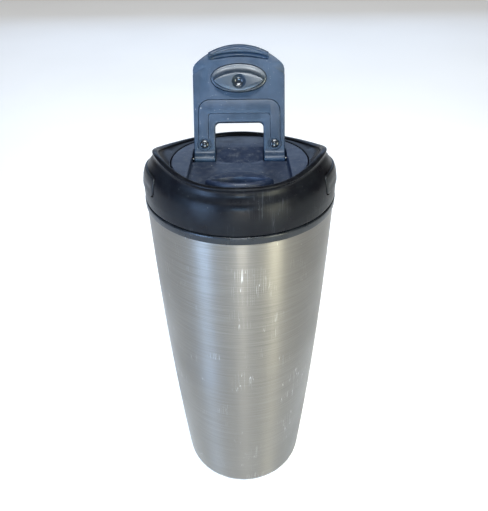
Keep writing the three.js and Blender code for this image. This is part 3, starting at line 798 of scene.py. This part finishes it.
def deck_tub():
    """The floor under the flap, and the deeper floor under its two legs."""
    reach = math.degrees(math.asin(PIN_TIP / (deck_radius(0.7) - 1.2)))
    front = []
    for angle in np.radians(np.linspace(-reach, reach, 25)):
        radius = deck_radius(angle) - 1.3
        front.append((radius * math.sin(angle), -radius * math.cos(angle)))
    outline = front + [(PIN_TIP, 3), (-PIN_TIP, 3)]
    floor = slab("tub_floor", outline, (-PANEL_DEPTH - 2, -1.5), (0.5, 0), DECK, "z")
    wells = filleted([(24.2, 1.5, 1), (24.2, 15.6, 1), (-24.2, 15.6, 1), (-24.2, 1.5, 1)])
    return floor, slab("tub_wells", wells, (-7.1, -1.5), (0.6, 0), DECK, "z")


def scoop():
    """The finger scoop between the legs: it rises to the deck from an arc across the panel's floor."""
    half = WINDOW_HALF_WIDTH + 0.1
    back = 15.6
    above = 4
    loops = []
    for x in np.linspace(-half, half, 25):
        front = 1.3 + 0.042 * x * x
        floor = []
        for share in np.linspace(-0.3, 1, 27):
            y = front + (back - front) * share
            floor.append((x, y, (max(0, share) - 1) * PANEL_DEPTH + 0.004))
        roof = [(x, y, above) for x, y, z in reversed(floor)]
        loops.append(floor + roof)
    return skinned("scoop", loops, DECK)


def box_outline(x, y, rounding):
    return filleted([(x[0], y[0], rounding), (x[1], y[0], rounding),
                     (x[1], y[1], rounding), (x[0], y[1], rounding)])


def deck_cutters():
    """The recess under the flap, the wells and bearings of its legs, a small vent and the scoop."""
    panel = filleted([
        (PANEL_HALF_WIDTH, -42, 1.2), (PANEL_HALF_WIDTH, 1.7, 1.2),
        (-PANEL_HALF_WIDTH, 1.7, 1.2), (-PANEL_HALF_WIDTH, -42, 1.2),
    ])
    cutters = [flared("panel", panel, -PANEL_DEPTH, 0.9, 0.45, DECK)]
    inner = WINDOW_HALF_WIDTH - 0.3
    pin_place = LID @ Matrix.Translation(PIN)
    for side in (-1, 1):
        well = box_outline(mirrored(side, inner, PANEL_HALF_WIDTH + 0.05), (3.7, 13.6), 0.7)
        cutters.append(flared("well", well, -5.3, 0.5, 0.35, DECK))
        ledge = box_outline(mirrored(side, inner - 1.5, PANEL_HALF_WIDTH - 0.02), (-0.6, 4.4), 0.2)
        cutters.append(slab("ledge", ledge, (0.003 - PANEL_DEPTH, 2.8), (0, 0), DECK, "z"))
        span = mirrored(side, PANEL_HALF_WIDTH - 0.5, PIN_TIP)
        cutters.append(slab("bearing", oval(PIN_BORE, PIN_BORE, 0, 24), span, (0, 0), pin_place, "x"))
    vent = [(-STUD_X + a, 8.5 + b) for a, b in oval(0.9, 0.9, 0, 20)]
    cutters.append(slab("vent", vent, (-10, -3), (0, 0), DECK, "z"))
    return cutters + [scoop()]


def spout_rim():
    """The raised rim round the drinking hole. Towards the hinge it widens to a sloping crescent."""
    sections = [  # half-width, reach towards the hinge, reach away from it, level there, level away
        (12.4, 6.5, 5.2, -8.2, -8.2), (13.5, 11.6, 7.0, -7.0, -7.0),
        (13.5, 11.6, 7.0, -3.6, -3.8), (13.2, 11.3, 6.7, -1.4, -2.4),
        (12.9, 11.05, 6.45, -0.55, -1.7), (12.65, 10.75, 6.25, -0.2, -1.35),
        (12.4, 10.4, 6.05, -0.06, -1.15), (12.15, 9.95, 5.85, -0.03, -1.03),
        (11.95, 9.3, 5.65, -0.1, -0.98), (11.75, 8.2, 5.4, -0.28, -0.96),
        (11.6, 6.8, 5.2, -0.55, -0.98), (11.5, 5.6, 5.08, -0.82, -1.0),
        (11.42, 5.0, 5.0, -0.98, -1.08), (11.35, 4.82, 4.92, -1.12, -1.2),
        (11.3, 4.76, 4.86, -1.4, -1.5), (11.2, 4.7, 4.8, -2.6, -2.6),
        (11.0, 4.6, 4.7, -8.2, -8.2),
    ]
    loops = []
    for half_width, towards, away, near_level, far_level in sections:
        loop = []
        for a, b in lens(half_width, towards, away, HOLE_TIPS):
            share = (b - HOLE_TIPS + towards) / (towards + away)
            loop.append((a, near_level + (far_level - near_level) * share, b))
        loops.append(loop)
    return skinned("spout_rim", loops, SHUT, closed=True)


def make_lid_body():
    deck = turned("lid_deck", lid_body_section, LID, closed=False)
    join(deck, *deck_tub())
    cut(deck, *deck_cutters())
    hole = lens(11.9, 5.3, 5.3, HOLE_TIPS)
    cut(deck, slab("hole", hole, (-14, 4), (0, 0), SHUT))
    join(deck, spout_rim())
    join(deck, *thread_ridges("lid_thread", SKIRT_RADIUS - 0.3, MALE_CREST, 0))
    finish_piece(deck, "lid", "deck_plastic", "lid_body")


# ---- the flap ----
def flap_outline():
    """The plate with its arched end and the window cut up into it from below, down to the legs' feet."""
    shoulder = 4.5
    centre = FLAP_LENGTH - FLAP_END_RADIUS
    corner_x = FLAP_HALF_WIDTH - shoulder
    corner_z = centre + math.sqrt((FLAP_END_RADIUS - shoulder) ** 2 - corner_x**2)
    turn = math.degrees(math.atan2(corner_z - centre, corner_x))
    foot = LEG_TOP - 1
    outline = [(WINDOW_HALF_WIDTH, foot), (FLAP_HALF_WIDTH, foot)]
    outline += arc((corner_x, corner_z), shoulder, 0, turn, 8)
    outline += arc((0, centre), FLAP_END_RADIUS, turn, 180 - turn, 40)[1:-1]
    outline += arc((-corner_x, corner_z), shoulder, 180 - turn, 180, 8)
    outline += [(-FLAP_HALF_WIDTH, foot), (-WINDOW_HALF_WIDTH, foot)]
    inner = 2
    outline += arc((inner - WINDOW_HALF_WIDTH, WINDOW_TOP - inner), inner, 180, 90, 7)
    outline += arc((WINDOW_HALF_WIDTH - inner, WINDOW_TOP - inner), inner, 90, 0, 7)
    return outline


def leg_foot(side):
    """A leg's lower end: the plate's thickness running down into the knuckle round the pin."""
    sunk = 0.004  # the foot lies just inside the plate where the two overlap
    front = FLAP_INNER + sunk
    knuckle = arc((0, 0), 2.1, 125, 305, 18)
    profile = [(front, LEG_TOP), (front, 3.2), (0.12, 2.7), (-0.3, 2.25)] + knuckle
    profile += arc((3.1 - sunk, 1.0), 1.0, -52, 0, 5) + [(FLAP_OUTER - sunk, LEG_TOP)]
    x = mirrored(side, WINDOW_HALF_WIDTH + sunk, FLAP_HALF_WIDTH - sunk)
    return slab("leg", profile, x, (FLAP_EDGE, FLAP_EDGE), FLAP, "x", steps=5)


def lip_groove():
    """The shallow hollow along the front of the thumb lip."""
    loops = []
    for t in np.linspace(-1, 1, 25):
        x = 11.6 * t
        z = FLAP_LENGTH - FLAP_END_RADIUS + math.sqrt(FLAP_END_RADIUS**2 - x**2) - 1.95 - 0.35 * t * t
        depth = 0.55 * (1 - t * t) ** 0.5 + 0.02
        loops.append([(x, a - 2.62, b) for a, b in oval(depth, 0.62, z, 16)])
    return skinned("lip_groove", loops, FLAP)


def lip_cove():
    """The hollow in the flap's face under the thumb lip."""
    loops = []
    for t in np.linspace(-1, 1, 33):
        x = 12.95 * t
        middle = LIP_FOOT - LIP_RADIUS + math.sqrt(LIP_RADIUS**2 - x * x) - 0.95
        size = max(0.05, 1 - abs(t) ** 10)
        loops.append([(x, FLAP_INNER + a, b) for a, b in oval(1.35 * size, size, middle, 20)])
    return skinned("lip_cove", loops, FLAP)


def thumb_lip():
    """The lip along the flap's end: rounded above, hollowed in front and sharp below."""
    reach = 13
    sections = [  # radius of the upper arc, how much lower it is, shortening, level
        (27, 0.2, 0, 1.5), (27, 0.0, 0, 0.3), (27, 0.02, 0, -0.6), (26.9, 0.2, 0, -1.5),
        (26.8, 0.55, 0.05, -2.15), (26.7, 1.0, 0.15, -2.5), (26.7, 1.35, 0.3, -2.6),
    ]
    loops = []
    for radius, lower, shorter, level in sections:
        half = reach - shorter
        turn = math.degrees(math.asin(half / radius))
        foot_turn = math.degrees(math.asin(half / LIP_RADIUS))
        top = FLAP_LENGTH - 0.02 - lower
        loop = arc((0, top - radius), radius, 90 - turn, 90 + turn, 30)
        loop += arc((0, LIP_FOOT - LIP_RADIUS), LIP_RADIUS, 90 + foot_turn, 90 - foot_turn, 30)
        loops.append([(a, level, b) for a, b in loop])
    return cut(skinned("thumb_lip", loops, FLAP), lip_groove())


def rim_path():
    """What the rim's top passes through as the flap shuts, cut from the flap where it stands open."""
    def section(angle):
        top = rim_height(angle) + 0.4
        return [(34.5, 10), (38.3, 10), (38.3, top), (34.5, top)]

    turn = Matrix.Rotation(-math.radians(CLOSED_TURN), 4, "X")
    about_pin = Matrix.Translation(PIN) @ turn @ Matrix.Translation(-PIN)
    return turned("rim_path", section, LID @ about_pin, steps=128)


def yoke_outline(extra):
    """The U-shaped yoke, whose legs end in eyes round the studs. extra makes it wider all round."""
    outer = 17.9 + extra
    top = 25.6 + extra
    inner = 13.6 - extra
    bridge = 19.8 - extra
    eyelet = 2.9 + extra
    outer_turn = math.degrees(math.acos((outer - STUD_X) / eyelet))
    inner_turn = math.degrees(math.acos((STUD_X - inner) / eyelet))
    right = arc((STUD_X, STUD_Z), eyelet, 180 - inner_turn, 360 + outer_turn, 20)
    left = [(-x, z) for x, z in reversed(right)]
    crown = filleted([
        (outer, STUD_Z + 3, 0), (outer, top, 5), (-outer, top, 5), (-outer, STUD_Z + 3, 0),
    ], steps=8)
    arch = filleted([
        (-inner, STUD_Z + 3, 0), (-inner, bridge, 1.2), (inner, bridge, 1.2), (inner, STUD_Z + 3, 0),
    ])
    return right + crown[1:-1] + left + arch[1:-1]


def stud_bore(side, radius, span):
    outline = [(side * STUD_X + a, STUD_Z + b) for a, b in oval(radius, radius, 0, 32)]
    return slab("stud_bore", outline, span, (0, 0), FLAP)


def make_flap():
    span = (FLAP_INNER, FLAP_OUTER)
    plate = slab("flap_panel", flap_outline(), span, (FLAP_EDGE, FLAP_EDGE), FLAP, steps=5)
    join(plate, leg_foot(-1), leg_foot(1), thumb_lip())
    recess = slab("recess", yoke_outline(0.14), (FLAP_INNER - 3, YOKE_BACK + 0.3), (0, 0.1), FLAP)
    cut(plate, recess, rim_path(), lip_cove())
    seat = oval(12.3, 6.3, FLANGE_CENTRE - 0.15)
    cut(plate, slab("plug_seat", seat, (FLAP_INNER - 1, 1.5), (0, 0), FLAP))
    peg = oval(SHANK_BORE, SHANK_BORE, PLUG_CENTRE, 24)
    cut(plate, slab("peg_bore", peg, (0, 3.4), (0, 0), FLAP))
    for side in (-1, 1):
        pin = oval(PIN_BORE, PIN_BORE, 0, 24)
        cut(plate, slab("pin_bore", pin, mirrored(side, 13, 21), (0, 0), FLAP, "x"))
        cut(plate, stud_bore(side, SHANK_BORE, (YOKE_FACE, 3.6)))
    finish_piece(plate, "flap", "flap_plastic", "flap_plate", angle=30)


def make_yoke():
    yoke = slab("yoke_plate", yoke_outline(0), (YOKE_FACE, YOKE_BACK), (0.18, 0), FLAP)
    for side in (-1, 1):
        cut(yoke, stud_bore(side, SHANK_BORE, (YOKE_FACE - 1, YOKE_BACK + 1)))
        cut(yoke, stud_bore(side, 2.45, (YOKE_FACE - 1, YOKE_FACE + 0.6)))
    finish_piece(yoke, "flap", "flap_plastic", "flap_yoke", angle=30)


def make_plug():
    """The plug: an oval flange, and a body that slopes from it to an eye-shaped face with a dimple."""
    sections = [  # half-width, reach towards the hinge, reach away, height of its tips, pointed, level
        (11.7, 5.8, 5.6, FLANGE_CENTRE, 0.5, 1.2), (12.0, 6.1, 5.75, FLANGE_CENTRE, 0.5, 1.0),
        (12.0, 6.1, 5.75, FLANGE_CENTRE, 0.5, -0.1), (11.9, 6.0, 5.65, FLANGE_CENTRE, 0.5, -0.3),
        (11.65, 5.8, 5.4, FLANGE_CENTRE, 0.51, -0.42), (11.4, 5.6, 5.1, 34.7, 0.53, -0.42),
        (11.2, 5.3, 4.6, 34.4, 0.55, -0.5), (11.05, 4.7, 4.3, 33.8, 0.6, -0.75),
        (10.9, 4.2, 4.35, 33.2, 0.7, -1.3), (10.85, 4.2, 4.2, 33.1, 0.75, -2.0),
        (10.8, 4.35, 3.95, 33.1, 0.77, -2.6), (10.7, 4.45, 3.65, 33.1, 0.78, -3.05),
        (10.6, 4.5, 3.25, 33.1, 0.79, -3.38), (10.5, 4.4, 2.95, 33.1, 0.79, -3.55),
        (10.3, 4.3, 2.75, 33.1, 0.8, PLUG_FACE),
    ]
    loops = []
    for half_width, towards, away, tips, pointed, level in sections:
        loops.append([(a, level, b) for a, b in lens(half_width, towards, away, tips, pointed)])
    plug = skinned("plug_body", loops, FLAP)
    profile = [  # radius, depth into the plug
        (0, -1), (3.6, -1), (3.25, -0.2), (3.05, 0.01), (2.88, 0.12), (2.7, 0.34), (2.45, 0.75),
        (2.15, 1.1), (1.95, 1.3), (1.95, 1.6), (SHANK_BORE, 1.61), (SHANK_BORE, 6.6), (0, 6.6),
    ]
    dimple = [(radius, PLUG_FACE + depth) for radius, depth in profile]
    cut(plug, drum("dimple", dimple, facing_in(0, PLUG_CENTRE), 48))
    finish_piece(plug, "flap", "plug_rubber", "plug_seal", angle=30)


def facing_in(x, z):
    """A frame on the flap whose Z axis points out through the flap, for round pieces along it."""
    return FLAP @ Matrix.Translation((x, 0, z)) @ Matrix.Rotation(math.radians(-90), 4, "X")


def make_rivet(name, x, z, head, under, shank_end, node):
    """A round rivet: its head's outline, then a shank into the flap."""
    shank = [(1.1, under), (1.1, shank_end - 0.2), (0.9, shank_end), (0, shank_end)]
    made = drum(name, head + [(head[-1][0], under)] + shank, facing_in(x, z), steps=48)
    finish_piece(made, "flap", "stud_plastic", node)


def make_rivets():
    """Two domed studs with a nipple each, and a dished peg at the bottom of the plug's dimple."""
    dome = [(0, -0.05), (0.3, -0.04), (0.48, 0.03), (0.62, 0.17), (0.92, 0.22),
            (1.33, 0.29), (1.63, 0.41), (1.8, 0.55), (1.85, 0.67)]
    dish = [(0, -2.12), (0.5, -2.14), (1.0, -2.2), (1.5, -2.33), (1.75, -2.44), (1.87, -2.45), (1.9, -2.4)]
    make_rivet("left_stud", -STUD_X, STUD_Z, dome, 0.75, 3.3, "stud_left")
    make_rivet("right_stud", STUD_X, STUD_Z, dome, 0.75, 3.3, "stud_right")
    make_rivet("plug_pin", 0, PLUG_CENTRE, dish, -2.05, 3.1, "plug_peg")


def make_pins():
    for side, node in ((-1, "hinge_pin_left"), (1, "hinge_pin_right")):
        x = mirrored(side, 13.3, PIN_TIP - CLEARANCE)
        pin = slab(f"{node}_rod", oval(PIN_RADIUS, PIN_RADIUS, 0, 32), x, (0.2, 0.2), FLAP, "x")
        finish_piece(pin, "flap", "pin_steel", node)


def make_object():
    make_shell()
    make_base()
    make_liner()
    make_seals()
    make_collar()
    make_lid_body()
    make_flap()
    make_yoke()
    make_plug()
    make_rivets()
    make_pins()
    foam = frame["nodes"]["insulation_foam"]
    foam.data.materials.clear()
    foam.data.materials.append(material("foam"))


# ---- the studio ----
def make_floor():
    half = 3000
    corners = [(-half, -half, 0), (half, -half, 0), (half, half, 0), (-half, half, 0)]
    floor = mesh_object("floor", corners, [(0, 1, 2, 3)], WORLD)
    s = Shader("studio_floor")
    clouds = s.between(s.noise((6, 6, 6), 3), 0.3, 0.7)
    s.set(Base_Color=s.mix(clouds, (0.80, 0.80, 0.79, 1), (0.84, 0.84, 0.83, 1)))
    s.set(Roughness=0.85, Emission_Color=(1, 0.985, 0.96, 1), Emission_Strength=0.34)
    floor.data.materials.append(s.material)


def softbox(name, azimuth, elevation, distance, size, power, colour):
    """An area light that faces the lid. Azimuth 0 is the drinking side, and positive is to its right."""
    aim = Vector((0, 0, STEEL_TOP * 0.75 * MM))
    rise = math.radians(elevation)
    direction = Vector(round_the_axis(math.cos(rise), math.radians(azimuth), math.sin(rise)))
    data = bpy.data.lights.new(name, "AREA")
    data.shape = "RECTANGLE"
    data.size, data.size_y = size
    data.energy = power
    data.color = colour
    lamp = bpy.data.objects.new(name, data)
    lamp.location = aim + direction * distance
    lamp.rotation_euler = direction.to_track_quat("Z", "Y").to_euler()
    bpy.context.scene.collection.objects.link(lamp)


def make_lights():
    world = bpy.data.worlds.new("studio")
    world.use_nodes = True
    background = world.node_tree.nodes["Background"]
    background.inputs["Color"].default_value = (0.84, 0.78, 0.72, 1)
    background.inputs["Strength"].default_value = 0.10
    bpy.context.scene.world = world
    softbox("window", 0, 22, 1.1, (0.3, 0.12), 4.4, (0.38, 0.66, 1.0))
    softbox("shoulder_light", 3, 64, 1.1, (0.42, 0.10), 12, (0.90, 0.96, 1.0))
    softbox("left_strip", -42, 10, 0.9, (0.22, 0.75), 17, (0.37, 0.59, 1.0))
    softbox("middle_strip", 1, 2, 0.9, (0.045, 0.5), 4.2, (1.0, 0.98, 0.88))
    softbox("right_strip", 38, 10, 0.9, (0.18, 0.75), 10.5, (0.98, 1.0, 0.80))
    softbox("sky", 180, 14, 1.3, (1.5, 0.4), 3.0, (0.50, 0.68, 1.0))
    softbox("overhead", 0, 88, 1.5, (0.8, 0.8), 5, (1.0, 0.98, 0.95))


def make_camera():
    """A camera in front of the drinking side, above the lid and looking down at the mug."""
    behind, above, aside = 209.42, 112.92, 1.34  # millimetres from the middle of the steel's top edge
    pitch, roll = 34.94, -0.71  # degrees
    data = bpy.data.cameras.new("camera")
    data.sensor_width = 36
    data.lens = 37.34
    data.clip_start = 0.01
    camera = bpy.data.objects.new("camera", data)
    camera.location = Vector((aside, -behind, STEEL_TOP + above)) * MM
    look = Matrix.Rotation(math.radians(90 - pitch), 4, "X") @ Matrix.Rotation(math.radians(roll), 4, "Z")
    camera.rotation_euler = look.to_euler()
    bpy.context.scene.collection.objects.link(camera)
    bpy.context.scene.camera = camera


make_object()
make_floor()
make_lights()
make_camera()
bpy.context.scene.view_settings.view_transform = "Standard"
